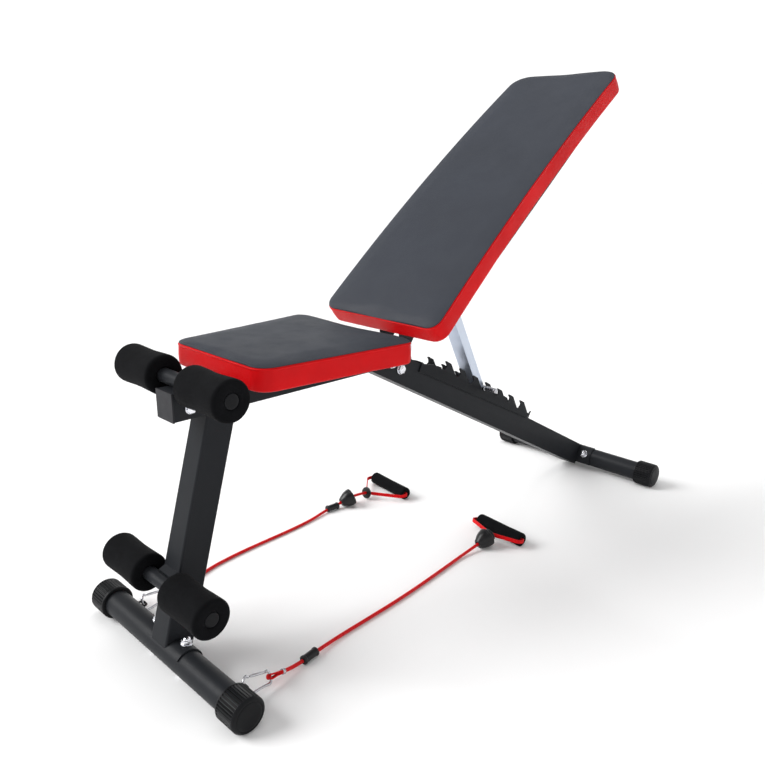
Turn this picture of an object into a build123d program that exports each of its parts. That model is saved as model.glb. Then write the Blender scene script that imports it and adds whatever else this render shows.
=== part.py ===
from build123d import *
import os
from math import atan2, cos, degrees, hypot, radians, sin, sqrt, tan

# Decline sit up bench, millimetres. +X right, +Y to the rear, +Z up.
# Distances called "d" below are measured rearwards from the front foot's axis.

# driving dimensions: feet
foot_spacing = 1340.0
foot_axis_z = 31.0
foot_tube_r = 25.0
cap_r = 32.0
cap_length = 50.0
cap_end = 4.0
front_foot_length = 488.0
rear_foot_length = 507.0
saddle_half_length = 66.0
saddle_thickness = 3.0
saddle_bolt_x = 47.0

# driving dimensions: square tubes
tube = 50.0
wall = 2.0
post_depth = 57.0
post_tilt = 15.6
beam_top = 501.4
beam_front_d = 30.0
leg_angle = 28.0
leg_height = 59.0
leg_top_d = 622.0
leg_top_z = 441.0
joint_top_d = 509.5
joint_bottom_d = 478.0

# driving dimensions: foam rollers
roller_r = 35.5
roller_in = 41.0
roller_out = 157.0
bar_r = 12.7
lower_bar_d = -2.5
lower_bar_z = 163.0
upper_bar_d = 54.8
running_clearance = 0.05

# driving dimensions: seat and backrest
seat_front_d = 124.0
seat_rear_d = 444.0
seat_seam_z = 545.0
seat_front_width = 268.0
seat_rear_width = 338.0
pad_side = 41.0
pad_crown = 6.0
board_inset = 14.0
board_thickness = 6.0
back_angle = 38.5
back_foot_d = 509.5
back_foot_z = 554.0
back_length = 814.0
back_bottom_width = 321.0
back_top_width = 287.0
back_bow = 14.0

# driving dimensions: backrest hinge, strut and ladder
hinge_d = 574.0
hinge_z = 487.0
hinge_bolt_r = 5.0
rail_width = 30.0
rail_depth = 25.0
strut_pivot_s = 190.0
strut_pivot_r = 4.0
strut_half_width = 18.0
strut_half_depth = 11.5
strut_sheet = 2.5
pin_r = 6.0
pin_half_length = 65.0
tooth_count = 8
tooth_first = 75.0
tooth_pitch = 56.4
notch_height = 16.3
pin_notch = 4
plate_thickness = 3.5

# driving dimensions: resistance bands
cord_r = 3.5
eye_wire_r = 2.2
eye_reach = 38.0
eye_half_width = 9.0
hook_wire_r = 2.4
hook_length = 58.0
rivet_r = 1.1
grip_length = 134.0
grip_r = 15.5
grip_z = 16.0

roller_reach = roller_r - lower_bar_d
overall_length = foot_spacing + roller_reach + cap_r
front_y = roller_reach - overall_length / 2
rear_y = front_y + foot_spacing
beam_bottom = beam_top - tube
leg_tilt = leg_angle - 90.0
upper_bar_z = beam_top + bar_r

os.makedirs("parts", exist_ok=True)


def save(builder, label):
    builder.part.label = label
    export_step(builder.part, f"parts/{label}.step")


def leg(u, v):
    """Point (y, z) at u along the rear leg's top edge and v square above it."""
    a = radians(leg_angle)
    y = front_y + leg_top_d + u * cos(a) + v * sin(a)
    z = leg_top_z - u * sin(a) + v * cos(a)
    return (y, z)


def back(s, t):
    """Point (y, z) at s up the backrest from its lower seam and t below its face."""
    a = radians(back_angle)
    y = front_y + back_foot_d + s * cos(a) + t * sin(a)
    z = back_foot_z + s * sin(a) - t * cos(a)
    return (y, z)


def rod_x(x0, x1, centre, outer_r, inner_r=0.0, mode=Mode.ADD):
    """Round bar or tube along X about a centre given as (y, z)."""
    with BuildSketch(Plane.YZ.offset(x0)) as section:
        with Locations(centre):
            Circle(outer_r)
            if inner_r:
                Circle(inner_r, mode=Mode.SUBTRACT)
    extrude(section.sketch, amount=x1 - x0, mode=mode)


def plate_x(x0, x1, points, mode=Mode.ADD):
    """Flat plate with a polygon outline of (y, z) points, from x0 to x1."""
    with BuildSketch(Plane.YZ.offset(x0)) as section:
        with BuildLine():
            Polyline(*points, close=True)
        make_face()
    extrude(section.sketch, amount=x1 - x0, mode=mode)


def slot_plate_x(x0, x1, start, end, radius, mode=Mode.ADD):
    """Flat bar with round ends centred on two (y, z) points."""
    length = hypot(end[0] - start[0], end[1] - start[1])
    turn = degrees(atan2(end[1] - start[1], end[0] - start[0]))
    with BuildSketch(Plane.YZ.offset(x0)) as section:
        with Locations(Location((start[0], start[1], 0), (0, 0, turn))):
            SlotCenterPoint((length / 2, 0), (length, 0), 2 * radius)
    extrude(section.sketch, amount=x1 - x0, mode=mode)


def rod_along(start, direction, length, outer_r, inner_r=0.0, end_r=None, mode=Mode.ADD):
    """Round bar, tube or cone from a start point along a direction."""
    base = Plane(origin=start, z_dir=direction)
    shape = Solid.make_cone(outer_r, end_r, length, base) if end_r else None
    if shape is None:
        shape = Solid.make_cylinder(outer_r, length, base)
    if inner_r:
        shape = shape - Solid.make_cylinder(inner_r, length, base)
    add(shape, mode=mode)


def saddle_frame(y, tilt):
    """Plane on a foot's axis whose z axis leans by tilt degrees from vertical to the rear."""
    a = radians(tilt)
    return Plane(origin=(0, y, foot_axis_z), x_dir=(1, 0, 0), z_dir=(0, sin(a), cos(a)))


# ---------------------------------------------------------------- feet
def foot_tube(y, length, tilt):
    """Round foot tube, drilled through for its saddle bolts."""
    half = length / 2 - cap_end
    rod_x(-half, half, (y, foot_axis_z), foot_tube_r, foot_tube_r - wall)
    frame = saddle_frame(y, tilt)
    for side in (-1, 1):
        start = (frame * Location((side * saddle_bolt_x, 0, -40))).position
        rod_along(start, frame.z_dir, 80, 5.2, mode=Mode.SUBTRACT)


def foot_cap(y, length):
    """Ribbed caps pushed over both ends of a foot, with a flat to stand on."""
    inner = length / 2 - cap_length
    for side in (-1, 1):
        low = min(side * inner, side * length / 2)
        rod_x(low, low + cap_length, (y, foot_axis_z), cap_r)
    rod_x(cap_end - length / 2, length / 2 - cap_end, (y, foot_axis_z), foot_tube_r + 0.05,
          mode=Mode.SUBTRACT)
    for side in (-1, 1):
        with Locations(Location((side * inner, y, foot_axis_z), (0, 90, 0))):
            with PolarLocations(cap_r + 0.4, 30, start_angle=6):
                Box(2.2, 2.2, 2 * cap_length - 8, mode=Mode.SUBTRACT)
    with Locations((0, y, -cap_r)):
        Box(2 * length, 3 * cap_r, 2 * cap_r, mode=Mode.SUBTRACT)


with BuildPart() as front_foot_tube:
    foot_tube(front_y, front_foot_length, post_tilt)
save(front_foot_tube, "front_foot_tube")

with BuildPart() as rear_foot_tube:
    foot_tube(rear_y, rear_foot_length, leg_tilt)
save(rear_foot_tube, "rear_foot_tube")

with BuildPart() as front_foot_caps:
    foot_cap(front_y, front_foot_length)
save(front_foot_caps, "front_foot_caps")

with BuildPart() as rear_foot_caps:
    foot_cap(rear_y, rear_foot_length)
save(rear_foot_caps, "rear_foot_caps")


def saddle(y, tilt):
    """Curved plate over a foot tube, with a hole each side for its bolts."""
    inner_r = foot_tube_r + 0.05
    outer_r = inner_r + saddle_thickness
    rod_x(-saddle_half_length, saddle_half_length, (y, foot_axis_z), outer_r, inner_r)
    frame = saddle_frame(y, tilt)
    with Locations(frame * Location((0, 0, -24))):
        Box(3 * saddle_half_length, 80, 68, mode=Mode.SUBTRACT)
    for side in (-1, 1):
        start = (frame * Location((side * saddle_bolt_x, 0, 0))).position
        rod_along(start, frame.z_dir, 40, 5.2, mode=Mode.SUBTRACT)


def saddle_bolts(y, tilt):
    """Two carriage bolts through a foot, heads underneath."""
    frame = saddle_frame(y, tilt)
    for side in (-1, 1):
        start = (frame * Location((side * saddle_bolt_x, 0, -foot_tube_r - 2.5))).position
        rod_along(start, frame.z_dir, 2.5, 8.0)
        rod_along(start, frame.z_dir, 2 * foot_tube_r + 13, 5.0)


def saddle_nuts(y, tilt):
    """A washer, hexagon and dome on each saddle bolt."""
    frame = saddle_frame(y, tilt)
    seat = sqrt((foot_tube_r + saddle_thickness) ** 2 - 9) + 0.35
    for side in (-1, 1):
        place = frame * Location((side * saddle_bolt_x, 0, seat))
        start = place.position
        rod_along(start, frame.z_dir, 2.0, 9.5)
        with BuildSketch(Plane(place).offset(2.0)) as hexagon:
            RegularPolygon(8.5, 6)
        extrude(hexagon.sketch, amount=7.0)
        rod_along(start + frame.z_dir * 9.0, frame.z_dir, 4.5, 7.2, end_r=3.5)
        rod_along(start - frame.z_dir, frame.z_dir, 11.5, 5.05, mode=Mode.SUBTRACT)


with BuildPart() as front_saddle:
    saddle(front_y, post_tilt)
save(front_saddle, "front_saddle")

with BuildPart() as rear_saddle:
    saddle(rear_y, leg_tilt)
save(rear_saddle, "rear_saddle")

with BuildPart() as foot_bolts:
    saddle_bolts(front_y, post_tilt)
    saddle_bolts(rear_y, leg_tilt)
save(foot_bolts, "foot_bolts")

with BuildPart() as foot_nuts:
    saddle_nuts(front_y, post_tilt)
    saddle_nuts(rear_y, leg_tilt)
save(foot_nuts, "foot_nuts")

# ---------------------------------------------------------------- front post
post_foot = (front_y, foot_axis_z)
post_rise = beam_bottom - foot_axis_z

with BuildPart() as front_post:
    with BuildSketch(saddle_frame(front_y, post_tilt)) as post_section:
        with Locations((0, (post_depth - tube) / 2)):
            RectangleRounded(tube, post_depth, 4)
            RectangleRounded(tube - 2 * wall, post_depth - 2 * wall, 2, mode=Mode.SUBTRACT)
    extrude(amount=1.3 * post_rise)
    with Locations((0, front_y + 150, beam_bottom + 150)):
        Box(200, 500, 300, mode=Mode.SUBTRACT)
    rod_x(-tube, tube, post_foot, foot_tube_r + saddle_thickness + 0.1, mode=Mode.SUBTRACT)
save(front_post, "front_post")

# ---------------------------------------------------------------- foam roller bars
lower_bar = (front_y + lower_bar_d, lower_bar_z)
upper_bar = (front_y + upper_bar_d, upper_bar_z)
bar_half = roller_out - 3.0


def roller_bar(centre):
    rod_x(-bar_half, bar_half, centre, bar_r, bar_r - 1.5)


def bar_plugs(centre):
    for side in (-1, 1):
        low = min(side * (bar_half - 14), side * bar_half)
        rod_x(low, low + 14, centre, bar_r - 1.55)
        low = min(side * bar_half, side * (bar_half + 2))
        rod_x(low, low + 2, centre, bar_r)


def foam_roller(centre, side):
    low = min(side * roller_in, side * roller_out)
    rod_x(low, low + roller_out - roller_in, centre, roller_r, bar_r + running_clearance)


with BuildPart() as lower_roller_bar:
    roller_bar(lower_bar)
save(lower_roller_bar, "lower_roller_bar")

with BuildPart() as upper_roller_bar:
    roller_bar(upper_bar)
save(upper_roller_bar, "upper_roller_bar")

with BuildPart() as roller_bar_plugs:
    bar_plugs(lower_bar)
    bar_plugs(upper_bar)
save(roller_bar_plugs, "roller_bar_plugs")

with BuildPart() as lower_roller_right:
    foam_roller(lower_bar, 1)
save(lower_roller_right, "lower_roller_right")

with BuildPart() as lower_roller_left:
    foam_roller(lower_bar, -1)
save(lower_roller_left, "lower_roller_left")

with BuildPart() as upper_roller_right:
    foam_roller(upper_bar, 1)
save(upper_roller_right, "upper_roller_right")

with BuildPart() as upper_roller_left:
    foam_roller(upper_bar, -1)
save(upper_roller_left, "upper_roller_left")

# the lower bar lies in a short welded cradle on the post's front face
post_slope = tan(radians(post_tilt))
post_half_depth = tube / 2 / cos(radians(post_tilt))


def post_front(z):
    """Y of the post's front face at a height."""
    return front_y + (z - foot_axis_z) * post_slope - post_half_depth


with BuildPart() as lower_bar_cradle:
    low_z = lower_bar_z - 20
    high_z = lower_bar_z + 20
    plate_x(-20, 20, [(post_front(low_z) - 0.05, low_z), (post_front(high_z) - 0.05, high_z),
                      (lower_bar[0] + 6, high_z - 5), (lower_bar[0] + 6, low_z + 5)])
    rod_x(-21, 21, lower_bar, bar_r + 0.05, mode=Mode.SUBTRACT)
save(lower_bar_cradle, "lower_bar_cradle")

# ---------------------------------------------------------------- seat beam
def joint_y(z, gap):
    """Y of the slanted cut where the beam meets the leg, moved back by a gap."""
    slope = (joint_top_d - joint_bottom_d) / tube
    return front_y + joint_bottom_d + (z - beam_bottom) * slope + gap


with BuildPart() as seat_beam:
    with BuildSketch(Plane.XZ.offset(-(front_y + beam_front_d))) as beam_section:
        with Locations((0, beam_top - tube / 2)):
            RectangleRounded(tube, tube, 3)
            RectangleRounded(tube - 2 * wall, tube - 2 * wall, 1.5, mode=Mode.SUBTRACT)
    extrude(amount=-(joint_top_d - beam_front_d + 20))
    plate_x(-tube, tube, [(joint_y(beam_top + 5, 0), beam_top + 5),
                          (joint_y(beam_bottom - 5, 0), beam_bottom - 5),
                          (joint_y(beam_bottom, 90), beam_bottom - 5),
                          (joint_y(beam_top, 90), beam_top + 5)], mode=Mode.SUBTRACT)
    rod_x(-tube, tube, (front_y + 60, 471), 5.2, mode=Mode.SUBTRACT)
save(seat_beam, "seat_beam")

with BuildPart() as beam_end_cap:
    with Locations((0, front_y + beam_front_d - 1.5, beam_top - tube / 2)):
        Box(tube, 2.9, tube)
    with Locations((0, front_y + beam_front_d + 6, beam_top - tube / 2)):
        Box(tube - 2 * wall - 1, 14, tube - 2 * wall - 1)
    with Locations((0, front_y + beam_front_d + 8, beam_top - tube / 2)):
        Box(tube - 14, 14, tube - 14, mode=Mode.SUBTRACT)
save(beam_end_cap, "beam_end_cap")


def cross_bolt(centre, reach, shank_r, head_r):
    """Bolt along X through a tube, with a low round head on the left."""
    rod_x(-reach, reach + 8, centre, shank_r)
    rod_x(-reach - 4, -reach, centre, head_r)


def cross_nut(centre, reach, bore_r, washer_r, hex_r):
    """Washer and hexagon nut on the right end of a bolt along X."""
    rod_x(reach, reach + 1.5, centre, washer_r, bore_r)
    with BuildSketch(Plane.YZ.offset(reach + 1.5)) as hexagon:
        with Locations(centre):
            RegularPolygon(hex_r, 6)
            Circle(bore_r, mode=Mode.SUBTRACT)
    extrude(hexagon.sketch, amount=5.5)


front_bolt_at = (front_y + 60.0, 471.0)
leg_bolt_at = leg(-56.0, -29.0)
leg_lock_at = leg(-86.0, -29.0)
side_reach = tube / 2 + 0.1

with BuildPart() as frame_bolts:
    cross_bolt(front_bolt_at, side_reach, 5.0, 9.0)
    cross_bolt(leg_bolt_at, side_reach, 5.0, 9.0)
    cross_bolt(leg_lock_at, side_reach, 4.0, 7.0)
save(frame_bolts, "frame_bolts")

with BuildPart() as frame_nuts:
    cross_nut(front_bolt_at, side_reach, 5.05, 10.0, 9.0)
    cross_nut(leg_bolt_at, side_reach, 5.05, 10.0, 9.0)
    cross_nut(leg_lock_at, side_reach, 4.05, 8.0, 6.5)
save(frame_nuts, "frame_nuts")

# ---------------------------------------------------------------- rear leg
saddle_clear_r = foot_tube_r + saddle_thickness + 0.1
rear_foot = (rear_y, foot_axis_z)
leg_end_u = (foot_spacing - leg_top_d) / cos(radians(leg_angle))


def leg_section(x_inset, low, high, u0, u1, mode=Mode.ADD):
    """Rectangular bar along the leg, between heights low and high below its top edge."""
    half = tube / 2 - x_inset
    plate_x(-half, half, [leg(u0, low), leg(u1, low), leg(u1, high), leg(u0, high)], mode=mode)


with BuildPart() as rear_leg:
    leg_section(0, -leg_height, 0, -200, leg_end_u + 20)
    leg_section(wall, wall - leg_height, -wall, -201, leg_end_u + 21, mode=Mode.SUBTRACT)
    plate_x(-tube, tube, [(joint_y(beam_top + 90, 0.1), beam_top + 90),
                          (joint_y(beam_bottom - 90, 0.1), beam_bottom - 90),
                          (joint_y(beam_bottom, -300), beam_bottom - 90),
                          (joint_y(beam_top, -300), beam_top + 90)], mode=Mode.SUBTRACT)
    plate_x(-tube, tube, [leg(-160, -150), leg(-112, -leg_height - 8), leg(-160, -leg_height)],
            mode=Mode.SUBTRACT)
    rod_x(-tube, tube, rear_foot, saddle_clear_r, mode=Mode.SUBTRACT)
    plate_x(-tube, tube, [leg(leg_end_u - 6, 10), leg(leg_end_u + 60, 10),
                          leg(leg_end_u + 60, -leg_height - 40), leg(leg_end_u - 6, -leg_height - 40)],
            mode=Mode.SUBTRACT)
    rod_x(-tube, tube, leg_bolt_at, 5.1, mode=Mode.SUBTRACT)
    rod_x(-tube, tube, leg_lock_at, 4.1, mode=Mode.SUBTRACT)
save(rear_leg, "rear_leg")

with BuildPart() as beam_tongue:
    leg_section(wall + 0.2, wall + 0.2 - leg_height, -wall - 0.2, -190, 30)
    leg_section(wall + 3.2, wall + 3.2 - leg_height, -wall - 3.2, -191, 31, mode=Mode.SUBTRACT)
    plate_x(-tube, tube, [(joint_y(beam_top + 90, 0.2), beam_top + 90),
                          (joint_y(beam_bottom - 90, 0.2), beam_bottom - 90),
                          (joint_y(beam_bottom, -300), beam_bottom - 90),
                          (joint_y(beam_top, -300), beam_top + 90)], mode=Mode.SUBTRACT)
    rod_x(-tube, tube, leg_bolt_at, 5.1, mode=Mode.SUBTRACT)
    rod_x(-tube, tube, leg_lock_at, 4.1, mode=Mode.SUBTRACT)
save(beam_tongue, "beam_tongue")

# ladder plates: each notch holds the strut's cross pin under a hooked tooth
tooth = [(-9.5, 13.5), (-6.0, 11.0), (-2.0, 10.0), (2.0, 10.0), (5.0, 12.0), (6.5, 15.0),
         (9.5, 20.0), (7.5, 24.5), (-1.0, 29.5), (3.0, 31.5)]
tooth_back = (20.0, 31.0)
last_tooth_back = (10.0, 30.0)


def ladder_outline():
    points = [(0.0, -17.5), (0.0, 3.0), (9.0, 3.0), (40.0, 11.0)]
    for index in range(tooth_count):
        tip_u = tooth_first + index * tooth_pitch
        points += [(tip_u + du, v) for du, v in tooth]
        du, v = last_tooth_back if index == tooth_count - 1 else tooth_back
        points.append((tip_u + du, v))
    points.append((tip_u + 7.0, -1.5))
    return [leg(u, v) for u, v in points]


with BuildPart() as ladder_right:
    plate_x(tube / 2 + 0.02, tube / 2 + plate_thickness, ladder_outline())
save(ladder_right, "ladder_right")

with BuildPart() as ladder_left:
    plate_x(-tube / 2 - plate_thickness, -tube / 2 - 0.02, ladder_outline())
save(ladder_left, "ladder_left")

# ---------------------------------------------------------------- seat
seat_board_z = seat_seam_z - pad_side


def pad_outline(front_width, rear_width, length, front_r, rear_r, inset=0.0):
    """Tapered pad outline with rounded corners, its front edge on the local x axis."""
    with BuildSketch() as outline:
        with BuildLine():
            Polyline((-front_width / 2, 0), (front_width / 2, 0), (rear_width / 2, length),
                     (-rear_width / 2, length), close=True)
        make_face()
        corners = outline.vertices().sort_by(Axis.Y)
        fillet(corners[:2], front_r)
        fillet(outline.vertices().sort_by(Axis.Y)[-2:], rear_r)
        if inset:
            offset(amount=-inset, kind=Kind.INTERSECTION)
    return outline.sketch


seat_length = seat_rear_d - seat_front_d
seat_shape = (seat_front_width, seat_rear_width, seat_length, 30.0, 18.0)

with BuildPart() as seat_pad:
    seat_base = Plane(origin=(0, front_y + seat_front_d, seat_seam_z - pad_side))
    extrude(seat_base * pad_outline(*seat_shape), amount=pad_side + pad_crown)
    fillet(seat_pad.edges().group_by(Axis.Z)[-1], 4.5)
    fillet(seat_pad.edges().group_by(Axis.Z)[0], 4)
    extrude(seat_base * pad_outline(*seat_shape, inset=board_inset), amount=board_thickness,
            mode=Mode.SUBTRACT)
save(seat_pad, "seat_pad")

with BuildPart() as seat_board:
    extrude(seat_base * pad_outline(*seat_shape, inset=board_inset), amount=board_thickness)
save(seat_board, "seat_board")

strap_thickness = seat_board_z - beam_top
seat_strap_d = (210.0, 370.0)

with BuildPart() as seat_straps:
    for strap_d in seat_strap_d:
        with Locations((0, front_y + strap_d, beam_top + strap_thickness / 2)):
            Box(190, 36, strap_thickness)
save(seat_straps, "seat_straps")

with BuildPart() as seat_screws:
    for strap_d in seat_strap_d:
        for side in (-1, 1):
            rod_along((side * 78, front_y + strap_d, beam_top - 3.5), (0, 0, 1), 3.5, 6.5)
save(seat_screws, "seat_screws")

# ---------------------------------------------------------------- backrest
a_back = radians(back_angle)


def back_plane(t):
    """Plane on the backrest, t below its face; x across, y up the pad."""
    y, z = back(0, t)
    return Plane(origin=(0, y, z), x_dir=(1, 0, 0), z_dir=(0, -sin(a_back), cos(a_back)))


def square_bar_on_back(half_x, s0, s1, t0, t1, mode=Mode.ADD):
    plate_x(-half_x, half_x, [back(s0, t0), back(s1, t0), back(s1, t1), back(s0, t1)], mode=mode)


back_shape = (back_bottom_width, back_top_width, back_length, 28.0, 34.0)
back_normal = Axis((0, 0, 0), (0, -sin(a_back), cos(a_back)))


def bowed(s, t, bow):
    """Point on the backrest at depth t, lifted by its bow, which is greatest at mid length."""
    return back(s, t - 4 * bow * s * (back_length - s) / back_length ** 2)


def bowed_slab(t_top, t_low, low_bow, outline, mode=Mode.ADD):
    """Slab with a bowed face and a bowed or flat underside, cut to a pad outline."""
    ends = (-20, back_length / 2, back_length + 20)
    with BuildPart(mode=Mode.PRIVATE) as slab:
        with BuildSketch(Plane.YZ.offset(-back_bottom_width)) as profile:
            with BuildLine():
                face = [bowed(s, t_top, back_bow) for s in ends]
                underside = [bowed(s, t_low, low_bow) for s in ends]
                ThreePointArc(*face)
                Line(face[2], underside[2])
                if low_bow:
                    ThreePointArc(*underside)
                else:
                    Line(underside[0], underside[2])
                Line(underside[0], face[0])
            make_face()
        extrude(profile.sketch, amount=2 * back_bottom_width)
        extrude(back_plane(pad_side + 20) * outline, amount=120, mode=Mode.INTERSECT)
    add(slab.part, mode=mode)


board_outline = pad_outline(*back_shape, inset=board_inset)
board_top = pad_side - board_thickness

with BuildPart() as backrest_pad:
    bowed_slab(-pad_crown, pad_side, back_bow, pad_outline(*back_shape))
    fillet(backrest_pad.faces().sort_by(back_normal)[-1].edges(), 4.5)
    fillet(backrest_pad.faces().sort_by(back_normal)[0].edges(), 4)
    bowed_slab(board_top, pad_side, 0, board_outline, mode=Mode.SUBTRACT)
save(backrest_pad, "backrest_pad")

with BuildPart() as backrest_board:
    bowed_slab(board_top, pad_side, 0, board_outline)
save(backrest_board, "backrest_board")

rail_top = pad_side
rail_bottom = rail_top + rail_depth
strut_pivot = back(strut_pivot_s, rail_top + rail_depth / 2)
hinge = (front_y + hinge_d, hinge_z)
bracket_end_s = 110.0

with BuildPart() as backrest_rail:
    square_bar_on_back(rail_width / 2, bracket_end_s, 660, rail_top, rail_bottom)
    square_bar_on_back(rail_width / 2 - wall, bracket_end_s - 1, 661, rail_top + wall,
                       rail_bottom - wall, mode=Mode.SUBTRACT)
    rod_x(-20, 20, strut_pivot, strut_pivot_r + 0.02, mode=Mode.SUBTRACT)
save(backrest_rail, "backrest_rail")

with BuildPart() as rail_end_plug:
    square_bar_on_back(rail_width / 2, 660.1, 663, rail_top, rail_bottom)
    square_bar_on_back(rail_width / 2 - wall - 0.1, 648, 660.1, rail_top + wall + 0.1,
                       rail_bottom - wall - 0.1)
save(rail_end_plug, "rail_end_plug")

with BuildPart() as backrest_strap:
    square_bar_on_back(100, 560, 596, rail_bottom + 0.05, rail_bottom + 3)
    for side in (-1, 1):
        low = min(side * 15.2, side * 100)
        plate_x(low, low + 84.8, [back(560, rail_bottom + 0.05), back(596, rail_bottom + 0.05),
                                  back(596, rail_top + 0.05), back(560, rail_top + 0.05)])
        plate_x(low + 3, low + 81.8, [back(559, rail_bottom + 0.05), back(597, rail_bottom + 0.05),
                                      back(597, rail_top + 3), back(559, rail_top + 3)],
                mode=Mode.SUBTRACT)
save(backrest_strap, "backrest_strap")

ear_in = tube / 2 + 1.0
ear_out = ear_in + 4.0

with BuildPart() as backrest_hinge_bracket:
    square_bar_on_back(ear_out, 14, bracket_end_s - 0.05, rail_top, rail_top + 3)
    square_bar_on_back(ear_in, bracket_end_s - 4, bracket_end_s - 0.05, rail_top + 3, rail_bottom)
    for side in (-1, 1):
        low = min(side * ear_in, side * ear_out)
        rod_x(low, low + 4, hinge, 13)
        plate_x(low, low + 4, [back(16, rail_top), back(bracket_end_s - 0.05, rail_top),
                               back(bracket_end_s - 0.05, rail_bottom), back(16, 95), back(2, 99),
                               back(-7.5, 84)])
    rod_x(-40, 40, hinge, hinge_bolt_r + 0.02, mode=Mode.SUBTRACT)
save(backrest_hinge_bracket, "backrest_hinge_bracket")

# frame lugs stand on the leg inside the bracket's ears and carry the hinge bolt
lug_in = tube / 2 - 4.0

with BuildPart() as frame_lugs:
    for side in (-1, 1):
        low = min(side * lug_in, side * tube / 2)
        rod_x(low, low + 4, hinge, 12)
        plate_x(low, low + 4, [leg(-96, 0.1), leg(-34, 0.1), leg(-52.5, 20), leg(-75.5, 20)])
    rod_x(-40, 40, hinge, hinge_bolt_r + running_clearance, mode=Mode.SUBTRACT)
save(frame_lugs, "frame_lugs")

with BuildPart() as hinge_bolt:
    cross_bolt(hinge, ear_out + 0.1, hinge_bolt_r, 9.0)
save(hinge_bolt, "hinge_bolt")

with BuildPart() as hinge_nut:
    cross_nut(hinge, ear_out + 0.1, hinge_bolt_r + 0.05, 10.0, 9.0)
save(hinge_nut, "hinge_nut")

# ---------------------------------------------------------------- strut
pin_centre = leg(tooth_first + (pin_notch - 1) * tooth_pitch, notch_height)
strut_length = hypot(strut_pivot[0] - pin_centre[0], strut_pivot[1] - pin_centre[1])
strut_dir = ((strut_pivot[0] - pin_centre[0]) / strut_length,
             (strut_pivot[1] - pin_centre[1]) / strut_length)


def strut_point(along, forward):
    """Point (y, z) along the strut from its pin, and forward of its centre line."""
    y = pin_centre[0] + along * strut_dir[0] - forward * strut_dir[1]
    z = pin_centre[1] + along * strut_dir[1] + forward * strut_dir[0]
    return (y, z)


with BuildPart() as strut:
    for side in (-1, 1):
        low = min(side * strut_half_width, side * (strut_half_width - strut_sheet))
        slot_plate_x(low, low + strut_sheet, pin_centre, strut_pivot, strut_half_depth)
    web = [strut_point(-4, strut_half_depth), strut_point(strut_length - 32, strut_half_depth),
           strut_point(strut_length - 32, strut_half_depth - strut_sheet),
           strut_point(-4, strut_half_depth - strut_sheet)]
    plate_x(-strut_half_width, strut_half_width, web)
    rod_x(-20, 20, strut_pivot, strut_pivot_r + running_clearance, mode=Mode.SUBTRACT)
    rod_x(-20, 20, pin_centre, pin_r + 0.02, mode=Mode.SUBTRACT)
save(strut, "strut")

with BuildPart() as cross_pin:
    rod_x(-pin_half_length, pin_half_length, pin_centre, pin_r)
    chamfer(cross_pin.edges().group_by(Axis.X)[0], 1)
    chamfer(cross_pin.edges().group_by(Axis.X)[-1], 1)
save(cross_pin, "cross_pin")

with BuildPart() as strut_pivot_pin:
    rod_x(-21, 21, strut_pivot, strut_pivot_r)
    rod_x(-23.5, -strut_half_width - 0.6, strut_pivot, 7.0)
    rod_x(strut_half_width + 0.6, 23.5, strut_pivot, 7.0)
save(strut_pivot_pin, "strut_pivot_pin")


# ---------------------------------------------------------------- resistance bands
def world(x, d, z):
    return Vector(x, front_y + d, z)


def cord_radii(points):
    """Bend radius at each inner point: 0.45 of the shorter run over tan of half the turn."""
    radii = []
    for before, here, after in zip(points, points[1:], points[2:]):
        run_in = here - before
        run_out = after - here
        turn = radians(run_in.get_angle(run_out))
        radii.append(0.45 * min(run_in.length, run_out.length) / tan(turn / 2))
    return radii


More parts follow.
